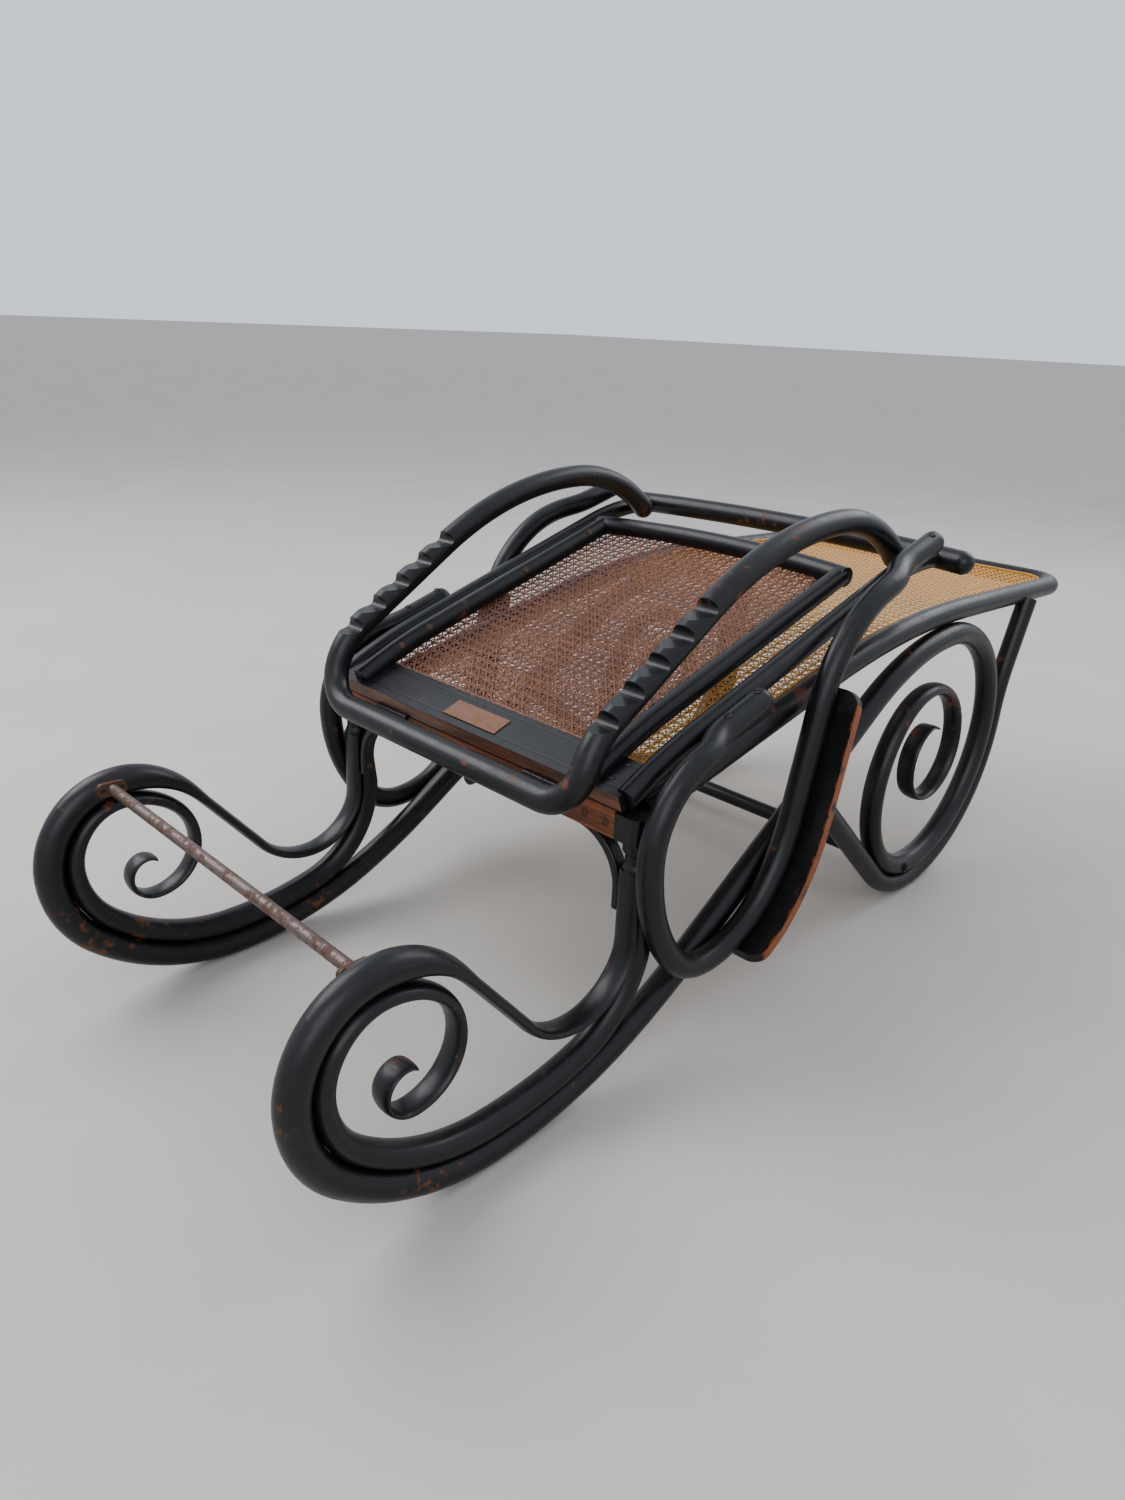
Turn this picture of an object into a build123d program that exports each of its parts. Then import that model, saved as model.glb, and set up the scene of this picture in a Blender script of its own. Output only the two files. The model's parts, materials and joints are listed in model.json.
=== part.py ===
from build123d import *
import os
from math import asin, atan2, cos, degrees, hypot, radians, sin, tan

# Adjustable bentwood chaise longue, back folded face down over the seat.
# X runs from the head scrolls to the foot, Y across, Z up. The side frames are bentwood strands that lie in
# upright planes; their centre lines are straight runs and tangent arcs, drawn here as walks in the XZ plane.
# All sizes are millimetres, angles degrees. While drawing, x = 0 is the ratchet rod and z = 0 the floor.

# ---- driving dimensions -------------------------------------------------------------------------------
frame_span = 560.0          # between the middles of the two side frames
strand_d = 36.0             # round bentwood of the side runners
scroll_d = 34.0             # round bentwood of the inner strand and the post
leg_d = 32.0                # round bentwood of the foot leg
strand_w = 34.0             # flattened strands, across the frame
ribbon_t = 14.0             # the S strand where it is flattened
tail_t = 6.0                # scroll tail tip, radial
tail_w = 29.0               # scroll tail tip, across the frame
lie_gap = 0.2               # between strands that lie along each other
floor_flat = 1.0            # worn flat under the runners

ring_top = (15.0, 312.0)    # top of the head ring
ring_bends = ((92.0, 45.0), (112.0, 45.0), (150.0, 45.0))
runner_bends = ((520.0, 24.0), (900.0, 9.0))
runner_rise = 454.0         # straight climb of the runner
crown_r = 420.0             # bend that brings the runner level under the seat
foot_ring_bends = ((200.0, 45.0), (185.0, 45.0), (210.0, 45.0))
foot_ring_close_r = 196.0   # last quarter of the foot ring
foot_tail_bends = ((165.0, 45.0), (160.0, 45.0), (165.0, 45.0), (115.0, 45.0), (118.0, 45.0), (112.0, 45.0),
                   (80.0, 45.0), (75.0, 45.0), (75.0, 45.0), (68.0, 45.0), (60.0, 45.0), (48.0, 45.0),
                   (35.0, 30.0))
head_tail_bends = ((100.0, 45.0), (75.0, 45.0), (65.0, 45.0), (60.0, 45.0), (34.0, 45.0), (30.0, 45.0),
                   (27.0, 45.0), (22.0, 45.0), (18.0, 40.0))
ring_inner_t = 20.0         # inner strand at the top of the head ring
rise_angle = 15.0           # where the inner strand leaves the runner
post_x = 390.0              # inner strand, upright in the post
post_top = 290.0
post_t = 22.0               # inner strand at the top of the post
s_bends = ((130.0, 50.0), (100.0, 50.0), (88.0, 60.0), (60.0, 30.0))
s_straight = 141.0
leg_lean_r = 300.0
leg_lean = 20.0
heel_r = 180.0
heel_angle = 43.0

rod_d = 14.0
plate_size = (36.0, 2.5, 18.0)
rail_x = 352.0              # front face of the hinge rail
rail_depth = 44.0
rail_bottom = 330.0
rail_h = 36.0
collar_d = 37.0
brace_t = 12.0
brace_w = 20.0
brace_r = 70.0
lug_size = (12.0, 20.0, 34.0)

rim_d = 34.0
rim_inset = 12.0            # seat rim inside the side frame
rim_start = 354.0           # height of the rim where it leaves the hinge rail
rim_crown_r = 1500.0
rim_foot_r = 1800.0
rim_foot_drop = 2.0
rim_length = 330.0          # from the foot bend to the corners
rim_corner_r = 58.0
cane_t = 3.0
stretcher_d = 26.0
stretcher_run = 42.0        # along the foot scroll from the ring's low point

board_tilt = 20.0           # slope of the folded back's foot board
board_len = 60.0
board_t = 23.4
hinge_x = 347.5
hinge_z = 366.0
back_start = (354.0, 383.9, 27.0)
back_lead = 15.7            # straight of the back tubes beside the board
back_first_r = 700.0
back_slope = 17.5
back_straight = 410.0
back_top_r = 400.0
tube_d = 28.0
cane_rail_d = 28.0
cane_rail_inset = 51.0      # cane rails inside the outer tubes
cane_rail_lift = 12.0
panel_drop = 12.5            # back cane below the middle of its rails
cane_rail_run = 385.0       # straight of the cane rails
top_rail_bow = 20.0
crest_d = 34.0
crest_half = 335.0
crest_bow = 10.0
plate_on_board = (100.0, 30.0, 1.5)

arm_d = 32.0
arm_tab = (555.0, 463.0)
arm_bends = ((110.0, 73.0), (230.0, 40.0), (90.0, 50.0), (150.0, 50.0), (230.0, 27.0))
arm_climb = 145.0
arm_top_r = 185.0
arm_top_turn = 62.0
tab_len = 66.0
tab_reach = 14.0            # how far the ends jog inward
arm_end_reach = 18.0
jog_angle = 25.0
pad_t = 14.0
pad_w = 59.0

prop_d = 34.0
pivot = (956.0, 578.0)
pin_d = 10.0
prop_top_r = 244.0
prop_top_turn = 43.0
prop_slope_r = 515.0
prop_slope_turn = 32.5
prop_rack = 180.0
prop_toe_r = 95.0
prop_toe_turn = 37.5
prop_corner_r = 52.0
notch_count = 5
notch_pitch = 48.0
notch_from = -10.0          # first notch tip, from the start of the straight rack
notch_gap = 1.0             # play of the rod in a notch

side_gap = 3.0              # between pieces that swing past each other
run_gap = 0.05              # radial clearance of a pin that turns
hinge_y = 150.0
hinge_len = 66.0
barrel_d = 7.0
hinge_pin_d = 3.6
leaf_t = 1.2
leaf_len = 27.0
board_set = 2.0             # board's front edge behind the hinge axis
leaf_gap = 0.4
screw_d = 9.0

half_span = frame_span / 2
arm_y = half_span + strand_d / 2 + side_gap + arm_d / 2
prop_y = half_span - strand_d / 2 - side_gap - 1.0 - prop_d / 2
tube_y = prop_y + prop_d / 2 + side_gap + tube_d / 2
cane_rail_y = tube_y - cane_rail_inset
rim_y = half_span - rim_inset


# ---- drawing helpers ----------------------------------------------------------------------------------
class Walk:
    """A centre line in an upright XZ plane: straight runs and tangent arcs, one after another."""

    def __init__(self, x, z, heading):
        self.start = (x, z, heading)
        self.legs = []

    def line(self, length):
        self.legs.append((length, 0.0))
        return self

    def left(self, radius, angle):
        self.legs.append((radius * radians(angle), 1.0 / radius))
        return self

    def right(self, radius, angle):
        self.legs.append((radius * radians(angle), -1.0 / radius))
        return self

    def length(self):
        return sum(leg[0] for leg in self.legs)

    @staticmethod
    def step(place, run, bend):
        x, z, heading = place
        a = radians(heading)
        if bend == 0.0:
            return x + run * cos(a), z + run * sin(a), heading
        b = a + run * bend
        return x + (sin(b) - sin(a)) / bend, z - (cos(b) - cos(a)) / bend, degrees(b)

    def at(self, run):
        """Place and heading at a distance along the walk."""
        place = self.start
        for length, bend in self.legs:
            if run <= length:
                return self.step(place, run, bend)
            place = self.step(place, length, bend)
            run -= length
        return place

    def end(self):
        return self.at(self.length())

    def edges(self, y, offset=0.0):
        """The walk's edges in the plane y, moved sideways by offset to its left."""
        place = self.start
        found = []
        for length, bend in self.legs:
            middle = self.step(place, length / 2, bend)
            last = self.step(place, length, bend)
            a, m, b = (beside(p, offset, y) for p in (place, middle, last))
            found.append(Line(a, b) if bend == 0.0 else ThreePointArc(a, m, b))
            place = last
        return found


def beside(place, offset, y):
    """A point offset to the left of a place on a walk, in the plane y."""
    x, z, heading = place
    a = radians(heading)
    return (x - offset * sin(a), y, z + offset * cos(a))


def across(place, y, offset=0.0):
    """The plane square to a walk, its first axis along Y and its second to the walk's left."""
    a = radians(place[2])
    return Plane(origin=beside(place, offset, y), x_dir=(0, 1, 0), z_dir=(cos(a), 0, sin(a)))


def tube(walk, y, diameter, offset=0.0):
    """Round bentwood along a walk."""
    wire = Wire(walk.edges(y, offset))
    return sweep(across(walk.start, y, offset) * Circle(diameter / 2), path=wire)


def taper(walk, y, size_at, first, last, count, offset_at=None):
    """Oval bentwood whose width and thickness change along a walk, through evenly spaced sections."""
    sections = []
    for i in range(count + 1):
        run = first + (last - first) * i / count
        width, thick = size_at((run - first) / (last - first))
        offset = offset_at(run) if offset_at else 0.0
        sections.append(across(walk.at(run), y, offset) * Ellipse(width / 2, thick / 2))
    return loft(sections)


def band(walk, low, high, y, width):
    """A strip between two offsets of a walk, width across and centred on the plane y."""
    lower = walk.edges(y - width / 2, low)
    upper = walk.edges(y - width / 2, high)
    first = Line(beside(walk.start, low, y - width / 2), beside(walk.start, high, y - width / 2))
    last = Line(beside(walk.end(), low, y - width / 2), beside(walk.end(), high, y - width / 2))
    face = Face(Wire([first] + upper + [last] + lower))
    return extrude(face, amount=width, dir=(0, 1, 0))


def blend(a, b, t):
    return a + (b - a) * t


def across_rod(x, z, y0, y1, diameter):
    """A round bar along Y."""
    plane = Plane(origin=(x, y0, z), x_dir=(1, 0, 0), z_dir=(0, 1, 0))
    return extrude(plane * Circle(diameter / 2), amount=y1 - y0)


def slotted_screw(diameter, height, slot_turn=0.0):
    """A low domed screw head with a slot, its seat on the XY plane."""
    slot_w = diameter * 0.13
    head = Cylinder(diameter / 2, height, align=(Align.CENTER, Align.CENTER, Align.MIN))
    head = fillet(head.edges().filter_by(GeomType.CIRCLE).sort_by(Axis.Z)[-1], height * 0.6)
    slot = Box(diameter * 1.2, slot_w, height, align=(Align.CENTER, Align.CENTER, Align.MIN))
    return head - Rot(0, 0, slot_turn) * Pos(0, 0, height * 0.55) * slot


nodes = {}


def keep(name, shape):
    nodes[name] = shape


def mirrored(shape):
    return shape.mirror(Plane.XZ)


def keep_pair(name, right_shape):
    """A piece of the right-hand side (y < 0) and its mirror image on the left."""
    keep(name + "_right", right_shape)
    keep(name + "_left", mirrored(right_shape))


# ---- more helpers -----------------------------------------------------------------------------------------
def bend_all(walk, bends, way):
    """Adds a row of bends (radius, angle), all to one side."""
    for radius, angle in bends:
        if way == "left":
            walk.left(radius, angle)
        else:
            walk.right(radius, angle)
    return walk


def biggest(shape):
    """The largest solid of a shape."""
    return sorted(shape.solids(), key=lambda solid: solid.volume)[-1]


def slab(x0, x1, y0, y1, z0, z1):
    """A box between six faces."""
    middle = ((x0 + x1) / 2, (y0 + y1) / 2, (z0 + z1) / 2)
    return Pos(*middle) * Box(x1 - x0, y1 - y0, z1 - z0)


def seat_screw(point, direction, diameter=screw_d, turn=0.0):
    """A screw head with its seat at a point, facing a direction."""
    return Plane(origin=point, z_dir=direction) * slotted_screw(diameter, diameter * 0.22, turn)


# ---- side runner: head ring, long runner, foot ring ----------------------------------------------------
r = strand_d / 2
low_z = r - floor_flat
fall = sum(b[0] * (1 - cos(radians(45.0))) if i == 0 else b[0] * cos(radians(45.0))
           for i, b in enumerate(ring_bends))
ring_close_r = (ring_top[1] - low_z - fall) / (1 - cos(radians(45.0)))
runner_walk = bend_all(Walk(ring_top[0], ring_top[1], -180.0), ring_bends, "left")
runner_walk.left(ring_close_r, 45.0)
ring_run = runner_walk.length()
bend_all(runner_walk, runner_bends, "left")
climb_start = runner_walk.end()
runner_walk.line(runner_rise).right(crown_r, climb_start[2])
crown = runner_walk.end()
bend_all(runner_walk, foot_ring_bends, "right").right(foot_ring_close_r, 45.0)
ring_low = runner_walk.end()
ring_side = runner_walk.at(runner_walk.length() - radians(45.0) * (
    foot_ring_close_r + foot_ring_bends[2][0]))

above_floor = slab(-300.0, 1800.0, -500.0, 500.0, 0.0, 1200.0)
runner = tube(runner_walk, -half_span, strand_d) & above_floor
keep_pair("side_runner", runner)

# ---- head scroll: post, top of the runner, inside of the head ring, curled tail --------------------------
rise_run = ring_run + runner_bends[0][0] * radians(rise_angle)
scroll_off = r + lie_gap + scroll_d / 2
rise_from = runner_walk.at(rise_run)
rise_point = beside(rise_from, scroll_off, 0.0)
rise_r = (post_x - rise_point[0]) / (1 - sin(radians(rise_angle)))
low_walk = Walk(*runner_walk.at(ring_run)).left(runner_bends[0][0], rise_angle)
rise_walk = Walk(rise_point[0], rise_point[2], rise_angle).left(rise_r, 90.0 - rise_angle)
post_foot = rise_walk.end()
post_walk = Walk(*post_foot).line(post_top - post_foot[1])
hug_walk = bend_all(Walk(*runner_walk.at(0.0)), ring_bends, "left").left(ring_close_r, 45.0)


def hug_size(t):
    """Thin at the ring's top, round where it reaches the floor."""
    return blend(strand_w, scroll_d, t), blend(ring_inner_t, scroll_d, t)


def hug_offset(run):
    return r + lie_gap + hug_size(run / ring_run)[1] / 2


def post_size(t):
    return strand_w, blend(scroll_d, post_t, t)


def post_offset(run):
    return (scroll_d - post_size(run / post_walk.length())[1]) / 2


curl_walk = bend_all(Walk(ring_top[0], ring_top[1] - hug_offset(0.0), 0.0), head_tail_bends, "right")


def curl_size(t):
    return blend(strand_w, tail_w, t), blend(ring_inner_t, tail_t, t)


scroll = tube(low_walk, -half_span, scroll_d, scroll_off)
scroll += tube(rise_walk, -half_span, scroll_d)
scroll += taper(post_walk, -half_span, post_size, 0.0, post_walk.length(), 4, post_offset)
scroll += taper(hug_walk, -half_span, hug_size, 0.0, ring_run, 20, hug_offset)
scroll += taper(curl_walk, -half_span, curl_size, 0.0, curl_walk.length(), 30)
scroll = biggest(scroll - runner)
keep_pair("head_scroll", scroll)

# ---- S strand: from the head ring's top down and up into the post -----------------------------------------
s_walk = Walk(ring_top[0], ring_top[1], 0.0).right(*s_bends[0]).line(s_straight)
bend_all(s_walk, s_bends[1:], "left")
s_end = s_walk.end()
ribbon_x = post_x - scroll_d / 2 - lie_gap - ribbon_t / 2
s_shift = ribbon_x - s_end[0]
s_walk = Walk(ring_top[0], ring_top[1], 0.0).line(max(0.5, s_shift)).right(*s_bends[0]).line(s_straight)
bend_all(s_walk, s_bends[1:], "left")
s_walk.line(post_top - s_walk.end()[1])


def s_size(t):
    flat = min(1.0, t / 0.25)
    flat = flat * flat * (3 - 2 * flat)
    return blend(strand_d, strand_w, flat), blend(strand_d, ribbon_t, flat)


s_strand = taper(s_walk, -half_span, s_size, 0.0, s_walk.length(), 30)
s_strand = biggest(s_strand - scroll)
keep_pair("s_strand", s_strand)

# ---- foot scroll tail --------------------------------------------------------------------------------------
foot_walk = bend_all(Walk(*ring_low), foot_tail_bends, "right")


def foot_size(t):
    return blend(strand_d, tail_w, t), blend(strand_d, tail_t, min(1.0, t * 1.05))


foot_scroll = taper(foot_walk, -half_span, foot_size, 0.0, foot_walk.length(), 46)
keep_pair("foot_scroll", foot_scroll & above_floor)

# ---- seat rim -------------------------------------------------------------------------------------------------
rim_crown_z = crown[1] + (((strand_d + rim_d) / 2 + lie_gap) ** 2 - rim_inset ** 2) ** 0.5
rim_dx = crown[0] - (rail_x + rail_depth)
rim_dz = rim_crown_z - rim_crown_r - rim_start
rim_slope = degrees(atan2(rim_dz, rim_dx)) + degrees(asin(rim_crown_r / hypot(rim_dx, rim_dz)))
rim_line = (hypot(rim_dx, rim_dz) ** 2 - rim_crown_r ** 2) ** 0.5
rim_walk = Walk(rail_x + rail_depth, rim_start, rim_slope).line(rim_line)
rim_walk.right(rim_crown_r, rim_slope).right(rim_foot_r, rim_foot_drop).line(rim_length)
rim_corner = rim_walk.end()


def around_corner(place, y, radius, to_middle):
    """Edges from a walk's end round a level corner and along Y to the middle."""
    x, z, heading = place
    a = radians(heading)
    turn = radians(45.0)
    half = (x + radius * sin(turn) * cos(a), y + to_middle * radius * (1 - cos(turn)),
            z + radius * sin(turn) * sin(a))
    last = (x + radius * cos(a), y + to_middle * radius, z + radius * sin(a))
    return [ThreePointArc((x, y, z), half, last), Line(last, (last[0], 0.0, last[2]))]


def half_loop(walk, y, radius, diameter):
    """One half of a bent loop: a side along a walk, a corner and half the cross bar."""
    edges = walk.edges(y) + around_corner(walk.end(), y, radius, 1 if y < 0 else -1)
    return sweep(across(walk.start, y) * Circle(diameter / 2), path=Wire(edges))


rim = half_loop(rim_walk, -rim_y, rim_corner_r, rim_d)
rim = rim + mirrored(rim)
keep("seat_rim", rim)

seat_outline = extrude(RectangleRounded(2 * 2000.0, 2 * rim_y, rim_corner_r), amount=1200.0)
rim_end_x = rim_corner[0] + rim_corner_r * cos(radians(rim_corner[2]))
seat_outline = Pos(rim_end_x - 2000.0, 0, 0) * seat_outline
sheet_walk = Walk(*rim_walk.start).line(rim_line)
sheet_walk.right(rim_crown_r, rim_slope).right(rim_foot_r, rim_foot_drop).line(rim_length + 2 * rim_corner_r)
seat_cane = band(sheet_walk, 5.0, 5.0 + cane_t, 0.0, 2 * rim_y + 20.0) & seat_outline
keep("seat_cane", biggest(seat_cane - rim))

# ---- foot leg: rim, outside of the foot ring, heel, runner ------------------------------------------------------
leg_off = (strand_d + leg_d) / 2 + lie_gap
lean = Walk(ring_side[0] + leg_off, ring_side[1], 90.0).right(leg_lean_r, leg_lean).end()
rim_at_leg = rim_crown_z - rim_d / 2
lean_line = (rim_at_leg - lean[1]) / sin(radians(lean[2]))
leg_top = (lean[0] + lean_line * cos(radians(lean[2])), rim_at_leg, lean[2] - 180.0)
leg_walk = Walk(*leg_top).line(lean_line).left(leg_lean_r, leg_lean)
leg_walk.right(foot_ring_bends[2][0] + leg_off, 45.0).right(foot_ring_close_r + leg_off, 45.0)
leg_walk.right(heel_r, heel_angle)
heel = leg_walk.end()
up = radians(180.0 - heel_angle)
climb = radians(climb_start[2])
reach = ((climb_start[1] - heel[1]) * cos(climb) - (climb_start[0] - heel[0]) * sin(climb)) / sin(up - climb)
leg_walk.line(reach)
leg = (tube(leg_walk, -half_span, leg_d) & above_floor) - runner - rim - foot_scroll
keep_pair("foot_leg", biggest(leg))

# ---- hinge rail, corner blocks, collars, braces, lug --------------------------------------------------------------
rail_end = half_span - strand_d / 2
tilt = radians(board_tilt)
rail_profile = Polyline(
    (rail_x, rail_bottom), (rail_x + rail_depth, rail_bottom),
    (rail_x + rail_depth, rail_bottom + rail_h + rail_depth * tan(tilt)), (rail_x, rail_bottom + rail_h),
    close=True)
rail = extrude(Plane.XZ * make_face(rail_profile), amount=rail_end, both=True) - rim
rail = biggest(rail)
keep("hinge_rail", rail)
keep("seat_cane", biggest(nodes["seat_cane"] - rail))

block_y = -half_span - strand_d / 2
block = slab(rail_x, rail_x + rail_depth, block_y, -rail_end, rail_bottom, rail_bottom + rail_h - 3.0)
block = fillet(block.edges().filter_by(Axis.Z).group_by(Axis.Y)[0], 12.0)
keep_pair("corner_block", block - rim)

collar_x = post_x - scroll_d / 2 - lie_gap - ribbon_t + (post_t + ribbon_t) / 2
collar_h = rail_bottom - post_top
cr = collar_d / 2
profile = Polyline((0, 0), (cr * 0.92, 0), (cr * 0.92, collar_h * 0.12), (cr * 0.80, collar_h * 0.24),
                   (cr * 0.80, collar_h * 0.50), (cr, collar_h * 0.62), (cr, collar_h), (0, collar_h),
                   close=True)
collar = revolve(Plane.XZ * make_face(profile), axis=Axis.Z)
keep_pair("post_collar", Pos(collar_x, -half_span, post_top) * collar)

brace_y = -half_span + strand_w / 2 + brace_t / 2
brace_top = rail_bottom - brace_t / 2
bx = collar_x
b0 = (bx, brace_y, brace_top - brace_r - 24.0)
b1 = (bx, brace_y, brace_top - brace_r)
b2 = (bx, brace_y + brace_r * (1 - cos(radians(45))), brace_top - brace_r * (1 - sin(radians(45))))
b3 = (bx, brace_y + brace_r, brace_top)
b4 = (bx, brace_y + brace_r + 24.0, brace_top)
brace_path = Wire([Line(b0, b1), ThreePointArc(b1, b2, b3), Line(b3, b4)])
brace_face = Plane(origin=b0, x_dir=(1, 0, 0), z_dir=(0, 0, 1)) * RectangleRounded(brace_w, brace_t, 4.0)
brace = sweep(brace_face, path=brace_path)
keep_pair("corner_brace", brace - s_strand - scroll)

lug = slab(collar_x - 6.0, collar_x - 6.0 + lug_size[0], -lug_size[1] / 2, lug_size[1] / 2,
           rail_bottom - lug_size[2], rail_bottom)
lug = fillet(lug.edges().filter_by(Axis.X).group_by(Axis.Z)[0], 9.0)
keep("rail_lug", Pos(0, 15.0, 0) * lug)

# ---- ratchet rod, stretcher ---------------------------------------------------------------------------------------
inner_y = half_span - strand_d / 2
rod = across_rod(0.0, ring_top[1] - 1.0, -inner_y, inner_y, rod_d)
keep("ratchet_rod", rod)
rod_z = ring_top[1] - 1.0
plate = slab(-plate_size[0] / 2, plate_size[0] / 2, -inner_y - 3.0, -inner_y + plate_size[1],
             rod_z - plate_size[2] / 2, rod_z + plate_size[2] / 2)
plate = fillet(plate.edges().filter_by(Axis.Y), 6.0)
keep_pair("rod_plate", plate - runner - s_strand - scroll - rod)

stretch = foot_walk.at(stretcher_run)
stretcher = across_rod(stretch[0], stretch[1], -half_span, half_span, stretcher_d)
stretcher = stretcher - foot_scroll - mirrored(foot_scroll)
keep("stretcher", biggest(stretcher))
bolt = Cylinder(8.0, 6.0) + Pos(0, 0, 2.0) * Cylinder(5.0, 6.0)
bolt = Plane(origin=(stretch[0], -half_span - strand_d / 2 + 1.0, stretch[1]), z_dir=(0, -1, 0)) * bolt
bolt = bolt - foot_scroll
keep("stretcher_bolts", biggest(bolt) + mirrored(biggest(bolt)))

# ---- folded back: board, tubes, cane rails, top rail, crest ---------------------------------------------------------
board_frame = Plane(origin=(hinge_x, 0, hinge_z), x_dir=(cos(tilt), 0, sin(tilt)), z_dir=(-sin(tilt), 0, cos(tilt)))
bevel = (rail_bottom + rail_h - hinge_z) * cos(tilt) - (rail_x - hinge_x) * sin(tilt)
under = bevel + 2 * leaf_t + leaf_gap
tube_walk = Walk(*back_start).line(back_lead).right(back_first_r, back_start[2] - back_slope).line(back_straight)
tube_bend = tube_walk.end()
tube_walk.right(back_top_r, back_slope)
tube_end = tube_walk.end()
crest_x = tube_end[0] + crest_d / 2 + 18.0
tube_walk.line(crest_x - tube_end[0])

crest_mid = (crest_x + crest_bow, 0, tube_end[1] + crest_bow / 2)
crest_tip = (crest_x - crest_bow, -crest_half + crest_d / 2, tube_end[1])
crest_path = ThreePointArc(crest_tip, crest_mid, (crest_tip[0], -crest_tip[1], crest_tip[2]))
crest = sweep(Plane(origin=crest_path @ 0, z_dir=crest_path % 0) * Circle(crest_d / 2), path=crest_path)
for end in (crest_path @ 0, crest_path @ 1):
    crest = crest + Pos(*end) * Sphere(crest_d / 2)
keep("crest_bar", crest)

side_tube = tube(tube_walk, -tube_y, tube_d) - crest
side_tube = biggest(side_tube)
board = board_frame * Pos(board_set + board_len / 2, 0, under + board_t / 2) * Box(
    board_len, 2 * tube_y, board_t)
board = board - side_tube - mirrored(side_tube)
board = biggest(board) - across_rod(hinge_x, hinge_z, -400.0, 400.0, barrel_d + 2 * leaf_gap)

rail_walk = Walk(*back_start).line(back_lead).right(back_first_r, back_start[2] - back_slope).line(cane_rail_run)
rail_top = rail_walk.end()
cane_rail = biggest(tube(rail_walk, -cane_rail_y, cane_rail_d, cane_rail_lift) - board)
top_tip = beside(rail_top, cane_rail_lift, -cane_rail_y)
top_tip = (top_tip[0], top_tip[1] - cane_rail_d * 0.35, top_tip[2])
lean_up = radians(back_slope)
top_mid = (top_tip[0] + top_rail_bow * cos(lean_up), 0, top_tip[2] + top_rail_bow * sin(lean_up))
top_path = ThreePointArc(top_tip, top_mid, (top_tip[0], -top_tip[1], top_tip[2]))
top_rail = sweep(Plane(origin=top_path @ 0, z_dir=top_path % 0) * Circle(cane_rail_d / 2), path=top_path)
cane_rail = biggest(cane_rail - top_rail)
keep("back_board", board)
keep_pair("back_tube", side_tube)
keep_pair("cane_rail", cane_rail)
keep("top_rail", top_rail)

panel_walk = Walk(*back_start).line(back_lead).right(back_first_r, back_start[2] - back_slope)
panel_walk.line(cane_rail_run + top_rail_bow)
panel_low = cane_rail_lift - panel_drop
panel = band(panel_walk, panel_low, panel_low + cane_t, 0.0, 2 * cane_rail_y)
panel = panel - board - top_rail - cane_rail - mirrored(cane_rail)
keep("back_cane", biggest(panel))

tag = board_frame * Pos(board_set + board_len * 0.45, -5.0, under + board_t + plate_on_board[2] / 2) * Box(
    plate_on_board[1], plate_on_board[0], plate_on_board[2])
keep("board_plate", tag)

# ---- armrest loops and pads ---------------------------------------------------------------------------------------------
def jog(place, y0, y1, angle):
    """Two bends that shift a straight strand sideways; gives its edges and where it ends."""
    x, z, heading = place
    a = radians(heading)
    radius = abs(y1 - y0) / (2 * (1 - cos(radians(angle))))
    side = 1 if y1 > y0 else -1
    spots = []
    for turn in (0.0, angle / 2, angle):
        along = radius * sin(radians(turn))
        out = radius * (1 - cos(radians(turn)))
        spots.append((along, y0 + side * out))
    total = 2 * spots[2][0]
    for along, y in reversed(spots[:2]):
        spots.append((total - along, y1 - (y - y0)))
    points = [(x + s * cos(a), y, z + s * sin(a)) for s, y in spots]
    return ([ThreePointArc(*points[:3]), ThreePointArc(*points[2:])],
            (x + total * cos(a), z + total * sin(a), heading))


arm_start = (arm_tab[0], arm_tab[1], 180.0 + back_slope)
front_y = -arm_y + tab_reach
tab_walk = Walk(*arm_start).line(tab_len)
jog_edges, jog_end = jog(tab_walk.end(), front_y, -arm_y, jog_angle)
loop_walk = bend_all(Walk(*jog_end), arm_bends, "left").line(arm_climb).right(arm_top_r, arm_top_turn)
back_edges, back_end = jog(loop_walk.end(), -arm_y, -arm_y + arm_end_reach, jog_angle)
end_walk = Walk(*back_end).line(tab_len)
arm_edges = tab_walk.edges(front_y) + jog_edges + loop_walk.edges(-arm_y) + back_edges
arm_edges = arm_edges + end_walk.edges(-arm_y + arm_end_reach)
arm = sweep(across(arm_start, front_y) * Circle(arm_d / 2), path=Wire(arm_edges))
tip = end_walk.end()
arm = arm + Pos(tip[0], -arm_y + arm_end_reach, tip[1]) * Sphere(arm_d / 2)
arm = arm + Pos(arm_start[0], front_y, arm_start[1]) * Sphere(arm_d / 2)
arm = biggest(arm - side_tube)
keep_pair("arm_loop", arm)

pad_from = sum(b[0] * radians(b[1]) for b in arm_bends[:3]) + arm_bends[3][0] * radians(20.0)
pad_walk = Walk(*loop_walk.at(pad_from)).left(arm_bends[3][0], arm_bends[3][1] - 20.0)
pad_walk.left(*arm_bends[4]).line(arm_climb).right(arm_top_r, 10.0)
pad_mid = -arm_y + arm_d / 2 - pad_w / 2
pad = band(pad_walk, -arm_d / 2 - pad_t + 1.0, -arm_d / 2 + 1.0, pad_mid, pad_w)
pad_ends = [e for e in pad.edges() if abs(e.length - pad_t) < 0.2]
pad = fillet(pad_ends, 22.0)
keep_pair("arm_pad", biggest(pad - arm))

# ---- ratchet loop and its pins ---------------------------------------------------------------------------------------------
prop_walk = Walk(pivot[0], pivot[1], 180.0 - prop_top_turn).left(prop_top_r, prop_top_turn)
prop_walk.left(prop_slope_r, prop_slope_turn)
rack = prop_walk.end()
prop_walk.line(prop_rack).left(prop_toe_r, prop_toe_turn)
prop = half_loop(prop_walk, -prop_y, prop_corner_r, prop_d)
prop = prop + Pos(pivot[0], -prop_y, pivot[1]) * Sphere(prop_d / 2)


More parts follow.
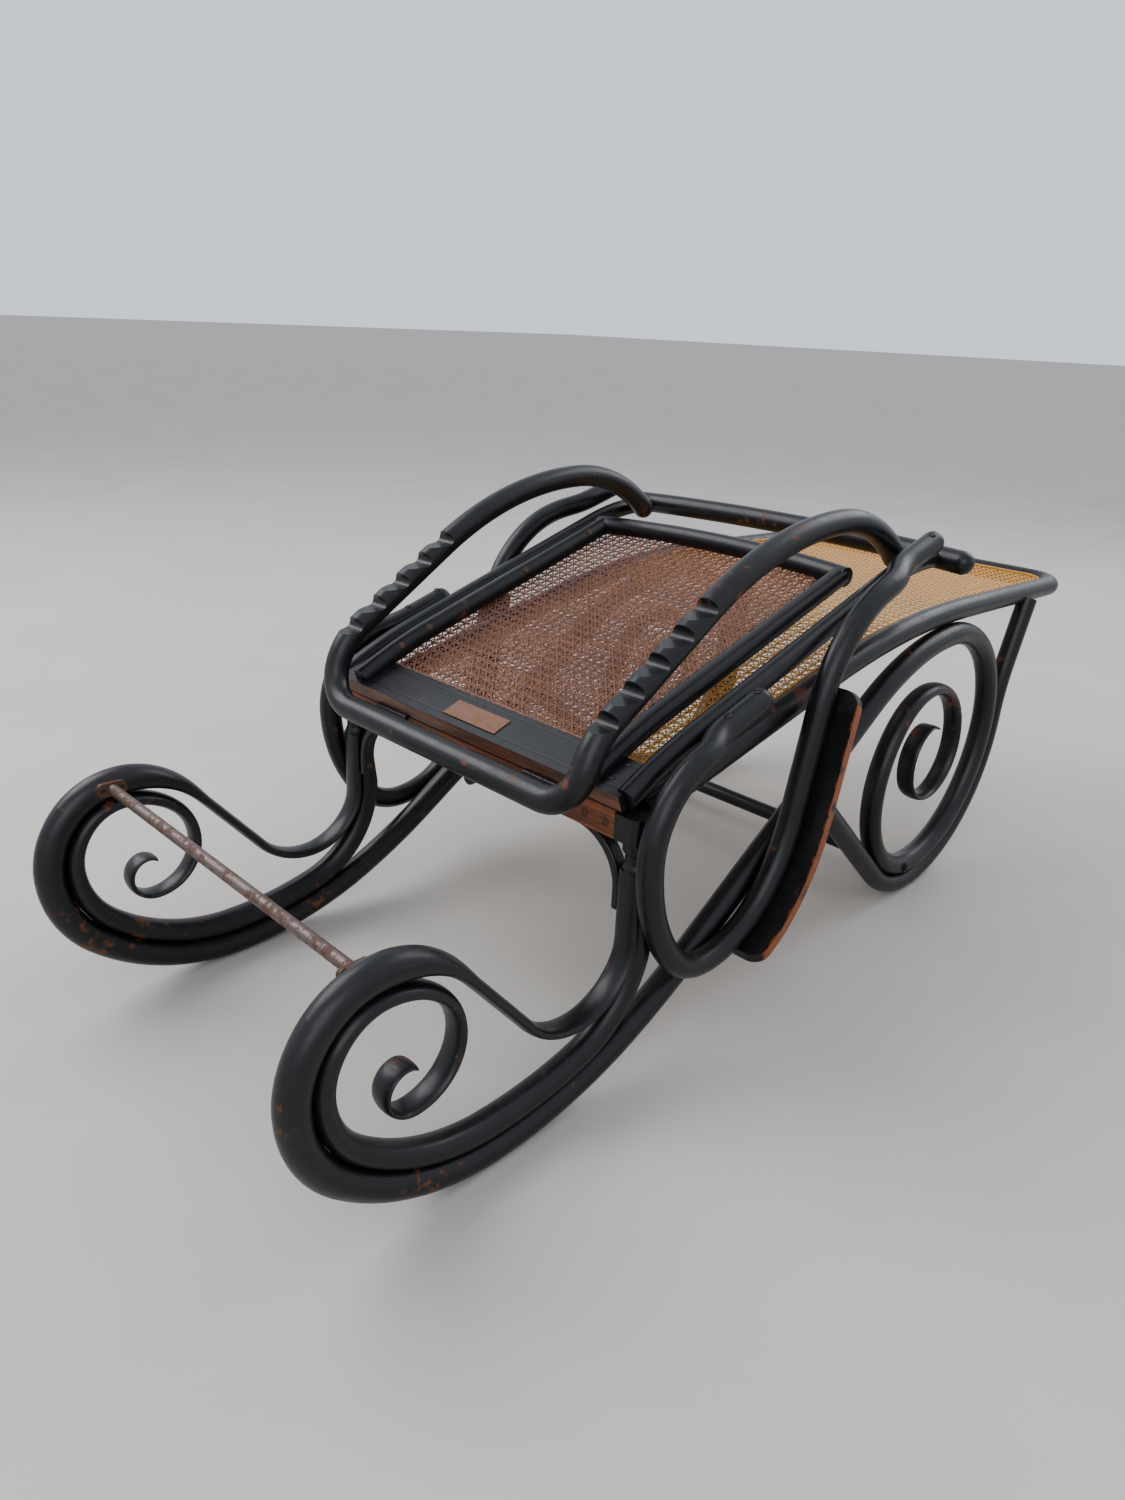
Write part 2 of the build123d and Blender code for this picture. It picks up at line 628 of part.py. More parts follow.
def notch(tip_x, tip_z, heading):
    """A hooked notch: upright wall at the tip, round bottom for the rod, ramp back to the surface."""
    nr = rod_d / 2 + notch_gap
    face = make_face(Polyline((0, 6), (0, -nr + 1), (nr, -2 * nr + 1), (nr * 1.5, -2 * nr + 1.6),
                              (notch_pitch * 0.80, 0), (notch_pitch * 0.80, 6), close=True))
    face = face + Pos(nr, -nr + 1) * Circle(nr)
    a = radians(heading)
    plane = Plane(origin=(tip_x, -prop_y - prop_d, tip_z), x_dir=(cos(a), 0, sin(a)), z_dir=(0, 1, 0))
    return extrude(plane * face, amount=2 * prop_d)


rack_a = radians(rack[2])
up_x, up_z = sin(rack_a), -cos(rack_a)
for i in range(notch_count):
    run = notch_from + i * notch_pitch
    spot = (rack[0] + run * cos(rack_a) + up_x * prop_d / 2, rack[1] + run * sin(rack_a) + up_z * prop_d / 2)
    cut = notch(spot[0], spot[1], rack[2])
    prop = prop - cut
prop = biggest(prop - across_rod(pivot[0], pivot[1], -400.0, 0.0, pin_d + 2 * run_gap))
prop = biggest(prop + mirrored(prop))
keep("ratchet_loop", prop)

pin_in = prop_y - prop_d / 2 - 2.0
pin = across_rod(pivot[0], pivot[1], -tube_y - tube_d / 2 - 1.0, -pin_in, pin_d)
pins = pin + mirrored(pin)
keep("prop_pins", pins)
for name in ("back_tube_right", "back_tube_left"):
    nodes[name] = biggest(nodes[name] - pins)

# ---- hinges -----------------------------------------------------------------------------------------------------------------
base_hinges = []
back_hinges = []
pins = []
third = hinge_len / 3
for side in (-1, 1):
    y0 = side * hinge_y - hinge_len / 2
    y1 = y0 + hinge_len
    middle = (y0 + y1) / 2
    low_leaf = board_frame * Pos(board_set + leaf_len / 2, middle, bevel + leaf_t / 2) * Box(
        leaf_len, hinge_len, leaf_t)
    base = low_leaf - across_rod(hinge_x, hinge_z, y0 + third, y1 - third, barrel_d + 2 * leaf_gap)
    base = base + across_rod(hinge_x, hinge_z, y0, y0 + third, barrel_d)
    base = base + across_rod(hinge_x, hinge_z, y1 - third, y1, barrel_d)
    base_hinges.append(base - across_rod(hinge_x, hinge_z, y0, y1, hinge_pin_d))
    flap = board_frame * Pos(board_set + leaf_len / 2, middle, under - leaf_t / 2) * Box(
        leaf_len, hinge_len, leaf_t)
    for a, b in ((y0, y0 + third + leaf_gap), (y1 - third - leaf_gap, y1)):
        flap = flap - across_rod(hinge_x, hinge_z, a - 0.1, b, barrel_d + 2 * leaf_gap)
    knuckle = across_rod(hinge_x, hinge_z, y0 + third + leaf_gap, y1 - third - leaf_gap, barrel_d)
    flap = flap + knuckle - across_rod(hinge_x, hinge_z, y0, y1, hinge_pin_d + 2 * run_gap)
    back_hinges.append(flap)
    pins.append(across_rod(hinge_x, hinge_z, y0 - 1.0, y1 + 1.0, hinge_pin_d))
keep("rail_hinge_leaves", base_hinges[0] + base_hinges[1])
keep("board_hinge_leaves", back_hinges[0] + back_hinges[1] - board)
keep("hinge_pins", pins[0] + pins[1])

# ---- screws --------------------------------------------------------------------------------------------------------------------
rail_spots = [(rail_x, y, rail_bottom + rail_h * 0.45) for y in (-248.0, -215.0, 215.0, 248.0)]
keep("rail_screws", Compound([seat_screw(p, (-1, 0, 0), turn=17.0 * i) for i, p in enumerate(rail_spots)]))

# ---- written out, standing on z = 0 with the origin under the middle -------------------------------------------------------
everything = Compound(list(nodes.values())).bounding_box()
middle_x = (everything.min.X + everything.max.X) / 2
os.makedirs("parts", exist_ok=True)
for name, shape in nodes.items():
    export_step(Pos(-middle_x, 0, 0) * shape, f"parts/{name}.step")
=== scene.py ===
import json
import math

import bmesh
import bpy
from mathutils import Matrix, Vector
from mathutils.bvhtree import BVHTree


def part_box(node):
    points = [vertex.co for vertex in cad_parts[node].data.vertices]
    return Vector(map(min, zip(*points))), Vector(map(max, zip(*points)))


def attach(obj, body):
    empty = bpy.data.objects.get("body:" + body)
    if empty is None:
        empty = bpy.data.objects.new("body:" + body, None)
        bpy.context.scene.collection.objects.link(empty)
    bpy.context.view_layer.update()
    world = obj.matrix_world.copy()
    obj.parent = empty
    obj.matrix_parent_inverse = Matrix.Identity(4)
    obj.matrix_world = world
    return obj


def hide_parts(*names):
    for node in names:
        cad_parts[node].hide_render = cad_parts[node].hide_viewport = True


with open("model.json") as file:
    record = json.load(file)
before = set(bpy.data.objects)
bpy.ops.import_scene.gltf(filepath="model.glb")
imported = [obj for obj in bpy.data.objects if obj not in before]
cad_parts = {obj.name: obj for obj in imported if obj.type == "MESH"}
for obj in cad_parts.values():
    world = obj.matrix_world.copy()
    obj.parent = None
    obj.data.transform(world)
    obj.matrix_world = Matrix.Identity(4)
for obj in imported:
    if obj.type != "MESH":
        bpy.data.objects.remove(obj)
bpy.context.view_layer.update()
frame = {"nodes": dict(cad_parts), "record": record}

# A black polished bentwood chaise longue with caned seat and back, its back folded down over the seat.
# Strands, rails and irons are the frame's own solids with their finishes. The cane is woven strand by
# strand, and its woven panels replace the solid sheets.

nodes = frame["nodes"]
body_of_node = {n: body for body, names in frame["record"]["behaviour"]["bodies"].items() for n in names}


# ---- shader groups shared by the finishes --------------------------------------------------------
def new_group(name, inputs, outputs):
    group = bpy.data.node_groups.new(name, "ShaderNodeTree")
    for label, kind, value in inputs:
        socket = group.interface.new_socket(name=label, in_out="INPUT", socket_type=kind)
        if value is not None:
            socket.default_value = value
    for label, kind in outputs:
        group.interface.new_socket(name=label, in_out="OUTPUT", socket_type=kind)
    return group, group.nodes.new("NodeGroupInput"), group.nodes.new("NodeGroupOutput")


def noise(tree, vector, scale, detail=4.0, rough=0.55):
    node = tree.nodes.new("ShaderNodeTexNoise")
    node.inputs["Detail"].default_value = detail
    node.inputs["Roughness"].default_value = rough
    node.inputs["Scale"].default_value = scale
    tree.links.new(vector, node.inputs["Vector"])
    return node.outputs["Fac"]


def maths(tree, kind, a, b=None, clamp=False):
    node = tree.nodes.new("ShaderNodeMath")
    node.operation = kind
    node.use_clamp = clamp
    for socket, value in zip(node.inputs, (a, b)):
        if value is None:
            continue
        if isinstance(value, (int, float)):
            socket.default_value = value
        else:
            tree.links.new(value, socket)
    return node.outputs[0]


def between(tree, value, low, high):
    """0 below low, 1 above high, and smooth from one to the other."""
    node = tree.nodes.new("ShaderNodeMapRange")
    node.interpolation_type = "SMOOTHSTEP"
    tree.links.new(value, node.inputs["Value"])
    for label, number in (("From Min", low), ("From Max", high)):
        if isinstance(number, (int, float)):
            node.inputs[label].default_value = number
        else:
            tree.links.new(number, node.inputs[label])
    return node.outputs["Result"]


def mix(tree, mask, a, b):
    node = tree.nodes.new("ShaderNodeMix")
    node.data_type = "RGBA"
    for socket, value in ((node.inputs[0], mask), (node.inputs[6], a), (node.inputs[7], b)):
        if isinstance(value, tuple):
            socket.default_value = (*value, 1.0) if len(value) == 3 else value
        elif isinstance(value, (int, float)):
            socket.default_value = value
        else:
            tree.links.new(value, socket)
    return node.outputs[2]


def build_rubbed_polish():
    """Black polish over brown wood: rubbed spots, scratches along the pores, dust in the hollows."""
    tree, given, out = new_group(
        "rubbed_polish",
        [("Vector", "NodeSocketVector", None), ("Polish", "NodeSocketColor", (0.005, 0.005, 0.006, 1)),
         ("Wood", "NodeSocketColor", (0.16, 0.05, 0.018, 1)), ("Rubbed", "NodeSocketFloat", 0.62),
         ("Dust", "NodeSocketFloat", 0.3)],
        [("Color", "NodeSocketColor"), ("Roughness", "NodeSocketFloat"), ("Height", "NodeSocketFloat")])
    vector = given.outputs["Vector"]
    broad = noise(tree, vector, 9.0, 3.0)
    patch = noise(tree, vector, 46.0, 6.0, 0.7)
    fine = noise(tree, vector, 420.0, 3.0, 0.6)
    mixed = maths(tree, "ADD", maths(tree, "MULTIPLY", broad, 0.45), maths(tree, "MULTIPLY", patch, 0.55))
    rubbed = between(tree, mixed, given.outputs["Rubbed"], maths(tree, "ADD", given.outputs["Rubbed"], 0.05))
    flecks = between(tree, noise(tree, vector, 190.0, 5.0, 0.75), 0.70, 0.76)
    worn = maths(tree, "MAXIMUM", rubbed, maths(tree, "MULTIPLY", flecks, 0.55))
    brown = mix(tree, fine, (0.06, 0.02, 0.01), given.outputs["Wood"])
    black = mix(tree, maths(tree, "MULTIPLY", patch, given.outputs["Dust"]), given.outputs["Polish"],
                (0.040, 0.040, 0.045))
    color = mix(tree, worn, black, brown)
    gloss = maths(tree, "ADD", maths(tree, "MULTIPLY", patch, 0.36), 0.20)
    gloss = maths(tree, "ADD", gloss, maths(tree, "MULTIPLY", worn, 0.25), clamp=True)
    height = maths(tree, "SUBTRACT", maths(tree, "MULTIPLY", fine, 0.35), maths(tree, "MULTIPLY", worn, 0.5))
    tree.links.new(color, out.inputs["Color"])
    tree.links.new(gloss, out.inputs["Roughness"])
    tree.links.new(height, out.inputs["Height"])
    return tree


def build_long_grain():
    """Grain drawn out along one axis: streaks, pores and a wavy figure."""
    tree, given, out = new_group(
        "long_grain",
        [("Vector", "NodeSocketVector", None), ("Stretch", "NodeSocketVector", (8.0, 160.0, 160.0)),
         ("Light", "NodeSocketColor", (0.30, 0.12, 0.05, 1)),
         ("Dark", "NodeSocketColor", (0.09, 0.03, 0.015, 1))],
        [("Color", "NodeSocketColor"), ("Height", "NodeSocketFloat")])
    scaled = tree.nodes.new("ShaderNodeVectorMath")
    scaled.operation = "MULTIPLY"
    tree.links.new(given.outputs["Vector"], scaled.inputs[0])
    tree.links.new(given.outputs["Stretch"], scaled.inputs[1])
    streak = noise(tree, scaled.outputs[0], 1.0, 6.0, 0.65)
    pores = between(tree, noise(tree, scaled.outputs[0], 3.4, 2.0), 0.60, 0.70)
    tone = between(tree, streak, 0.35, 0.68)
    color = mix(tree, tone, given.outputs["Dark"], given.outputs["Light"])
    color = mix(tree, maths(tree, "MULTIPLY", pores, 0.7), color, given.outputs["Dark"])
    tree.links.new(color, out.inputs["Color"])
    tree.links.new(maths(tree, "SUBTRACT", streak, maths(tree, "MULTIPLY", pores, 0.5)), out.inputs["Height"])
    return tree


rubbed_polish = build_rubbed_polish()
long_grain = build_long_grain()


def start_material(name):
    material = bpy.data.materials.new(name)
    material.use_nodes = True
    tree = material.node_tree
    return material, tree, tree.nodes["Principled BSDF"], tree.nodes.new("ShaderNodeTexCoord")


def place_group(tree, group, vector, values):
    node = tree.nodes.new("ShaderNodeGroup")
    node.node_tree = group
    tree.links.new(vector, node.inputs["Vector"])
    for label, value in values.items():
        node.inputs[label].default_value = value
    return node


def bump(tree, shader, height, strength, distance=0.0006):
    node = tree.nodes.new("ShaderNodeBump")
    node.inputs["Strength"].default_value = strength
    node.inputs["Distance"].default_value = distance
    tree.links.new(height, node.inputs["Height"])
    tree.links.new(node.outputs["Normal"], shader.inputs["Normal"])


ragged_depth = 0.012    # how far a rubbed edge's outline wanders


def polished_black(name, rubbed, wood=(0.17, 0.055, 0.02, 1), dust=0.3, bare_side=None, bare_past=None,
                   grooves=None):
    """Ebonised wood. Faces towards bare_side are rubbed through to brown, and so are edges farther than
    bare_past from the middle plane. grooves is a direction and the places along it of fine grooves, each
    bumped in and painted near black along its length as painted shade in the groove."""
    material, tree, shader, place = start_material(name)
    polish = place_group(tree, rubbed_polish, place.outputs["Object"],
                         {"Rubbed": rubbed, "Wood": wood, "Dust": dust})
    color = polish.outputs["Color"]
    if bare_side:
        grain = place_group(tree, long_grain, place.outputs["Object"],
                            {"Stretch": (150.0, 9.0, 150.0), "Light": wood, "Dark": (0.05, 0.018, 0.01, 1)})
        dot = tree.nodes.new("ShaderNodeVectorMath")
        dot.operation = "DOT_PRODUCT"
        dot.inputs[1].default_value = Vector(bare_side).normalized()
        tree.links.new(place.outputs["Normal"], dot.inputs[0])
        ragged = maths(tree, "ADD", dot.outputs["Value"],
                       maths(tree, "MULTIPLY", noise(tree, place.outputs["Object"], 38.0, 6.0), 0.30))
        mask = between(tree, ragged, 0.70, 0.90)
        color = mix(tree, mask, color, grain.outputs["Color"])
    height = polish.outputs["Height"]
    if bare_past:
        split = tree.nodes.new("ShaderNodeSeparateXYZ")
        tree.links.new(place.outputs["Object"], split.inputs[0])
        away = maths(tree, "ABSOLUTE", split.outputs["Y"])
        wander = maths(tree, "MULTIPLY", noise(tree, place.outputs["Object"], 60.0, 6.0), ragged_depth)
        ragged = maths(tree, "ADD", away, wander)
        start = bare_past + ragged_depth / 2 - 0.0005
        mask = between(tree, ragged, start, start + 0.002)
        color = mix(tree, maths(tree, "MULTIPLY", mask, 0.85), color, (0.27, 0.075, 0.022))
    if grooves:
        along = tree.nodes.new("ShaderNodeVectorMath")
        along.operation = "DOT_PRODUCT"
        along.inputs[1].default_value = grooves[0]
        tree.links.new(place.outputs["Object"], along.inputs[0])
        # each groove: a bump for its hollow, and near-black painted shade along it
        for spot in grooves[1]:
            off = maths(tree, "ABSOLUTE", maths(tree, "SUBTRACT", along.outputs["Value"], spot))
            groove_shade = maths(tree, "SUBTRACT", 1.0, between(tree, off, 0.0007, 0.0014))
            color = mix(tree, groove_shade, color, (0.002, 0.002, 0.002))
            height = maths(tree, "SUBTRACT", height, groove_shade)
    tree.links.new(color, shader.inputs["Base Color"])
    tree.links.new(polish.outputs["Roughness"], shader.inputs["Roughness"])
    shader.inputs["Specular IOR Level"].default_value = 0.45
    shader.inputs["Coat Weight"].default_value = 0.12
    shader.inputs["Coat Roughness"].default_value = 0.18
    bump(tree, shader, height, 0.35)
    return material


def bare_wood(name, light, dark, stretch, rough):
    """Brown wood with no polish left, grimy in patches."""
    material, tree, shader, place = start_material(name)
    grain = place_group(tree, long_grain, place.outputs["Object"],
                        {"Stretch": stretch, "Light": light, "Dark": dark})
    grime = between(tree, noise(tree, place.outputs["Object"], 30.0, 6.0, 0.7), 0.52, 0.72)
    color = mix(tree, maths(tree, "MULTIPLY", grime, 0.75), grain.outputs["Color"], (0.03, 0.014, 0.01))
    tree.links.new(color, shader.inputs["Base Color"])
    dull = maths(tree, "ADD", maths(tree, "MULTIPLY", grime, -0.2), rough)
    tree.links.new(dull, shader.inputs["Roughness"])
    bump(tree, shader, grain.outputs["Height"], 0.4)
    return material


def cane_finish(name, light, dark, stain, rough):
    """Split cane: glossy outer skin, streaks along the strand, darker stains across the panel."""
    material, tree, shader, place = start_material(name)
    where = place.outputs["Object"]
    strand = noise(tree, where, 260.0, 3.0)
    broad = noise(tree, where, 7.0, 4.0, 0.6)
    color = mix(tree, between(tree, strand, 0.35, 0.65), dark, light)
    color = mix(tree, between(tree, broad, 0.42, 0.70), color, stain)
    tree.links.new(color, shader.inputs["Base Color"])
    dull = maths(tree, "ADD", maths(tree, "MULTIPLY", strand, 0.3), rough)
    tree.links.new(dull, shader.inputs["Roughness"])
    bump(tree, shader, noise(tree, where, 900.0, 2.0), 0.3, 0.0003)
    return material


def old_metal(name, base, rust, amount, metallic, rough):
    """Iron or brass gone dull, with rust in spots; amount is how much of it is rusted."""
    material, tree, shader, place = start_material(name)
    where = place.outputs["Object"]
    clean_below = 0.62 - amount * 0.25
    spots = between(tree, noise(tree, where, 95.0, 7.0, 0.7), clean_below, clean_below + 0.10)
    fine = noise(tree, where, 700.0, 3.0)
    rusty = mix(tree, fine, rust, (0.05, 0.025, 0.015))
    tree.links.new(mix(tree, spots, base, rusty), shader.inputs["Base Color"])
    tree.links.new(maths(tree, "SUBTRACT", metallic, maths(tree, "MULTIPLY", spots, metallic * 0.8)),
                   shader.inputs["Metallic"])
    tree.links.new(maths(tree, "ADD", maths(tree, "MULTIPLY", spots, 0.25), rough, clamp=True),
                   shader.inputs["Roughness"])
    bump(tree, shader, maths(tree, "ADD", spots, maths(tree, "MULTIPLY", fine, 0.4)), 0.5, 0.0004)
    return material


black = polished_black("black_polish", 0.600)
black_scroll = polished_black("black_polish_scrolls", 0.580, (0.20, 0.07, 0.026, 1), 0.35)
black_prop = polished_black("black_polish_prop", 0.565, (0.22, 0.075, 0.028, 1), 0.35)
pad_edge = abs(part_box("arm_pad_right")[0][1])
pad_wear = 0.0022       # the width of the worn line along a pad's outer edge
black_pad = polished_black("black_polish_pads", 0.585, (0.36, 0.10, 0.03, 1), 0.25,
                           bare_past=pad_edge - pad_wear)
board_tilt = math.radians(20.0)
board_low, board_high = (Vector(corner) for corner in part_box("back_board"))
board_slope = Vector((math.cos(board_tilt), 0.0, math.sin(board_tilt)))
board_middle = board_slope.dot((board_low + board_high) / 2)
board_black = polished_black("black_polish_board", 0.60, (0.19, 0.065, 0.026, 1), 0.5, (-0.94, 0.0, -0.34),
                             grooves=(board_slope, (board_middle - 0.018, board_middle + 0.021)))
brown_rail = bare_wood("brown_rail", (0.27, 0.088, 0.030, 1), (0.10, 0.033, 0.014, 1), (150.0, 8.0, 150.0),
                       0.50)
honey = cane_finish("honey_cane", (0.62, 0.33, 0.075), (0.40, 0.19, 0.035), (0.50, 0.25, 0.05), 0.32)
russet = cane_finish("russet_cane", (0.25, 0.115, 0.075), (0.085, 0.032, 0.022), (0.13, 0.055, 0.038), 0.40)
rod_iron = old_metal("rod_iron", (0.16, 0.125, 0.115), (0.15, 0.075, 0.05), 0.55, 0.7, 0.42)
dark_iron = old_metal("dark_iron", (0.045, 0.043, 0.045), (0.12, 0.05, 0.025), 0.35, 0.6, 0.42)
screw_iron = old_metal("screw_iron", (0.10, 0.075, 0.06), (0.17, 0.075, 0.04), 0.75, 0.6, 0.48)
tag_metal = old_metal("board_tag", (0.20, 0.105, 0.075), (0.33, 0.17, 0.09), 0.55, 0.35, 0.50)

finish_of = {
    "hinge_rail": brown_rail, "back_board": board_black, "board_plate": tag_metal, "ratchet_loop": black_prop,
    "ratchet_rod": rod_iron, "rod_plate_left": screw_iron, "rod_plate_right": screw_iron,
    "stretcher_bolts": dark_iron, "rail_screws": screw_iron, "rail_hinge_leaves": dark_iron,
    "board_hinge_leaves": dark_iron, "hinge_pins": dark_iron, "prop_pins": dark_iron,
    "arm_pad_left": black_pad, "arm_pad_right": black_pad, "rail_lug": black,
    "seat_cane": honey, "back_cane": russet,
}
scroll_strands = ("side_runner", "head_scroll", "foot_scroll")
for name in nodes:
    finish_of.setdefault(name, black_scroll if name.startswith(scroll_strands) else black)
for name, node in nodes.items():
    node.data.materials.clear()
    node.data.materials.append(finish_of[name])


# ---- making pieces -------------------------------------------------------------------------------
def piece(name, verts, faces, material, body, slot, smooth=False):
    mesh = bpy.data.meshes.new(name)
    mesh.from_pydata(verts, [], faces)
    mesh.validate()
    if smooth:
        mesh.polygons.foreach_set("use_smooth", [True] * len(mesh.polygons))
    mesh.materials.append(material)
    made = bpy.data.objects.new(name, mesh)
    bpy.context.scene.collection.objects.link(made)
    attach(made, body)
    return made


surfaces = {}


def hit(node, origin, direction):
    """Where a ray meets a node's surface, and the surface's normal there; None if it misses."""
    if node not in surfaces:
        mesh = nodes[node].data
        spots = [v.co for v in mesh.vertices]
        surfaces[node] = BVHTree.FromPolygons(spots, [p.vertices for p in mesh.polygons])
    point, normal, *_ = surfaces[node].ray_cast(Vector(origin), Vector(direction).normalized())
    return None if point is None else (point.copy(), normal.copy())


section_rows = 160      # heights measured along a panel
sheet_half = 0.0015     # half the solid sheet's thickness
profile = ((-0.5, -0.5), (-0.5, 0.1), (-0.22, 0.5), (0.22, 0.5), (0.5, 0.1), (0.5, -0.5))


class Panel:
    """A caned panel's surface, measured from its solid sheet, with x and y as its plan."""

    def __init__(self, node):
        self.node = node
        low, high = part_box(node)
        self.low, self.high = Vector(low), Vector(high)
        self.rows = []
        for i in range(section_rows + 1):
            x = self.low.x + (self.high.x - self.low.x) * (0.002 + 0.996 * i / section_rows)
            found = hit(node, (x, 0.0, self.high.z + 0.1), (0, 0, -1))
            if found:
                self.rows.append((x, found[0].z))

    def height(self, x):
        """The sheet's top over x, carried on straight past either end."""
        rows = self.rows
        if x <= rows[0][0]:
            a, b = rows[0], rows[3]
        elif x >= rows[-1][0]:
            a, b = rows[-4], rows[-1]
        else:
            span = rows[-1][0] - rows[0][0]
            i = min(len(rows) - 2, int((x - rows[0][0]) / span * (len(rows) - 1)))
            while rows[i][0] > x:
                i -= 1
            while rows[i + 1][0] < x:
                i += 1
            a, b = rows[i], rows[i + 1]
        return a[1] + (b[1] - a[1]) * (x - a[0]) / (b[0] - a[0])

    def inside(self, x, y):
        return hit(self.node, (x, y, self.high.z + 0.1), (0, 0, -1)) is not None

    def edge(self, a, b):
        """The last inside point on the way from a, inside, to b, outside."""
        for _ in range(12):
            middle = ((a[0] + b[0]) / 2, (a[1] + b[1]) / 2)
            if self.inside(*middle):
                a = middle
            else:
                b = middle
        return a

    def lift(self, x, y, above):
        """The 3-D point over a plan point, above the middle of the sheet."""
        slope = (self.height(x + 0.004) - self.height(x - 0.004)) / 0.008
        length = math.hypot(1.0, slope)
        z = self.height(x) - sheet_half * length
        return Vector((x - slope / length * above, y, z + above / length))


def strand(verts, faces, spots, sides, width, thick):
    """One flat cane strand through 3-D spots, as a closed strip with a rounded back."""
    start = len(verts)
    count = len(spots)
    for i, spot in enumerate(spots):
        along = (spots[min(i + 1, count - 1)] - spots[max(i - 1, 0)]).normalized()
        up = sides[i]
        across = up.cross(along).normalized()
        up = along.cross(across)
        for a, u in profile:
            verts.append(spot + across * (a * width) + up * (u * thick))
    around = len(profile)
    for i in range(count - 1):
        for k in range(around):
            a, b = start + i * around + k, start + i * around + (k + 1) % around
            faces.append((a, b, b + around, a + around))
    faces.append(tuple(start + k for k in reversed(range(around))))
    faces.append(tuple(start + (count - 1) * around + k for k in range(around)))


def weave(panel, name, material, body, slot, pitch, width, thick):
    """Six-way cane: pairs along and across, single strands both ways on the slant."""
    low, high = panel.low, panel.high
    across_count = int((high.x - low.x) / pitch)
    along_count = int((high.y - low.y) / pitch)
    x0 = (low.x + high.x) / 2 - across_count * pitch / 2
    y0 = (low.y + high.y) / 2 - along_count * pitch / 2
    apart = width * 1.32            # between the middles of a pair's two strands
    wave = thick * 0.62             # how far a strand rises and dips at the crossings
    slant_lift = thick * 1.35       # the slanting strands lie above and below the pairs
    sets = {"across": ([], []), "along": ([], []), "slant_a": ([], []), "slant_b": ([], [])}

    def run(kind, points, heights):
        keep = []
        for i, (x, y) in enumerate(points):
            if panel.inside(x, y):
                if not keep and i:
                    ex, ey = panel.edge((x, y), points[i - 1])
                    keep.append((ex + (ex - x) * 0.2, ey + (ey - y) * 0.2, 0.0))
                keep.append((x, y, heights[i]))
            elif keep:
                ex, ey = panel.edge(keep[-1][:2], (x, y))
                keep.append((ex, ey, 0.0))
                break
        if len(keep) < 3:
            return
        spots = [panel.lift(*spot) for spot in keep]
        ups = [(panel.lift(x, y, 0.01) - panel.lift(x, y, 0.0)).normalized() for x, y, _ in keep]
        strand(*sets[kind], spots, ups, width, thick)

    for i in range(across_count + 1):
        for k in (0, 1):
            x = x0 + i * pitch + (k - 0.5) * apart
            points = [(x, y0 + (j * 0.5 - 0.5) * pitch) for j in range(2 * along_count + 4)]
            heights = [wave * math.cos(math.pi * (i + k + (j - 1) * 0.5)) for j in range(len(points))]
            run("across", points, heights)
    for j in range(along_count + 1):
        for k in (0, 1):
            y = y0 + j * pitch + (k - 0.5) * apart
            points = [(x0 + (i * 0.5 - 0.5) * pitch, y) for i in range(2 * across_count + 4)]
            heights = [-wave * math.cos(math.pi * (j + k + (i - 1) * 0.5)) for i in range(len(points))]
            run("along", points, heights)
    for way, kind in ((1, "slant_a"), (-1, "slant_b")):
        for start in range(-along_count - 1, across_count + along_count + 2):
            points = []
            heights = []
            for step in range(2 * along_count + 4):
                t = step * 0.5 - 0.5
                points.append((x0 + (start + way * t) * pitch, y0 + t * pitch))
                heights.append(way * slant_lift + wave * 0.5 * math.cos(math.pi * step))
            run(kind, points, heights)
    return [piece(f"{name}_{kind}", *made, material, body, slot) for kind, made in sets.items()]


def edge_cord(panel, name, material, body, slot, radius, inset):
    """The cord that holds the cane's edge down in its groove."""
    step, rise, near_edge = 0.008, 0.0022, 0.03
    low, high = panel.low, panel.high
    cx, cy = (low.x + high.x) / 2, (low.y + high.y) / 2
    half_x, half_y = (high.x - low.x) / 2, (high.y - low.y) / 2
    nx, ny = int((high.x - low.x) / step), int((high.y - low.y) / step)
    targets = [(low.x + (high.x - low.x) * i / nx, low.y) for i in range(nx)]
    targets += [(high.x, low.y + (high.y - low.y) * i / ny) for i in range(ny)]
    targets += [(high.x - (high.x - low.x) * i / nx, high.y) for i in range(nx)]
    targets += [(low.x, high.y - (high.y - low.y) * i / ny) for i in range(ny)]
    spots = []
    for tx, ty in targets:
        outside = (cx + (tx - cx) * 1.05, cy + (ty - cy) * 1.05)
        ex, ey = panel.edge((cx, cy), outside)
        shrink_x = math.copysign(inset, cx - ex) if abs(ex - cx) > half_x - near_edge else 0.0
        shrink_y = math.copysign(inset, cy - ey) if abs(ey - cy) > half_y - near_edge else 0.0
        spots.append(panel.lift(ex + shrink_x, ey + shrink_y, rise))
    verts = []
    faces = []
    count, around = len(spots), 8
    for i, spot in enumerate(spots):
        along = (spots[(i + 1) % count] - spots[i - 1]).normalized()
        side = Vector((0, 0, 1)).cross(along).normalized()
        up = along.cross(side)
        for k in range(around):
            a = 2 * math.pi * k / around
            verts.append(spot + side * math.cos(a) * radius + up * math.sin(a) * radius)
        here, ahead = i * around, (i + 1) % count * around
        for k in range(around):
            turn = (k + 1) % around
            faces.append((here + k, here + turn, ahead + turn, ahead + k))
    return piece(name, verts, faces, material, body, slot, smooth=True)


strand_wide, strand_thick, cord_inset = 0.0021, 0.0007, 0.0025
seat = Panel("seat_cane")
for woven in weave(seat, "seat_weave", honey, "base", "honey_cane", 0.0158, strand_wide, strand_thick):
    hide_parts("seat_cane")
edge_cord(seat, "seat_edge_cord", honey, "base", "honey_cane", 0.0021, cord_inset)
back = Panel("back_cane")
for woven in weave(back, "back_weave", russet, "back", "dark_cane", 0.0150, strand_wide, strand_thick):
    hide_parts("back_cane")
edge_cord(back, "back_edge_cord", russet, "back", "dark_cane", 0.0019, cord_inset)


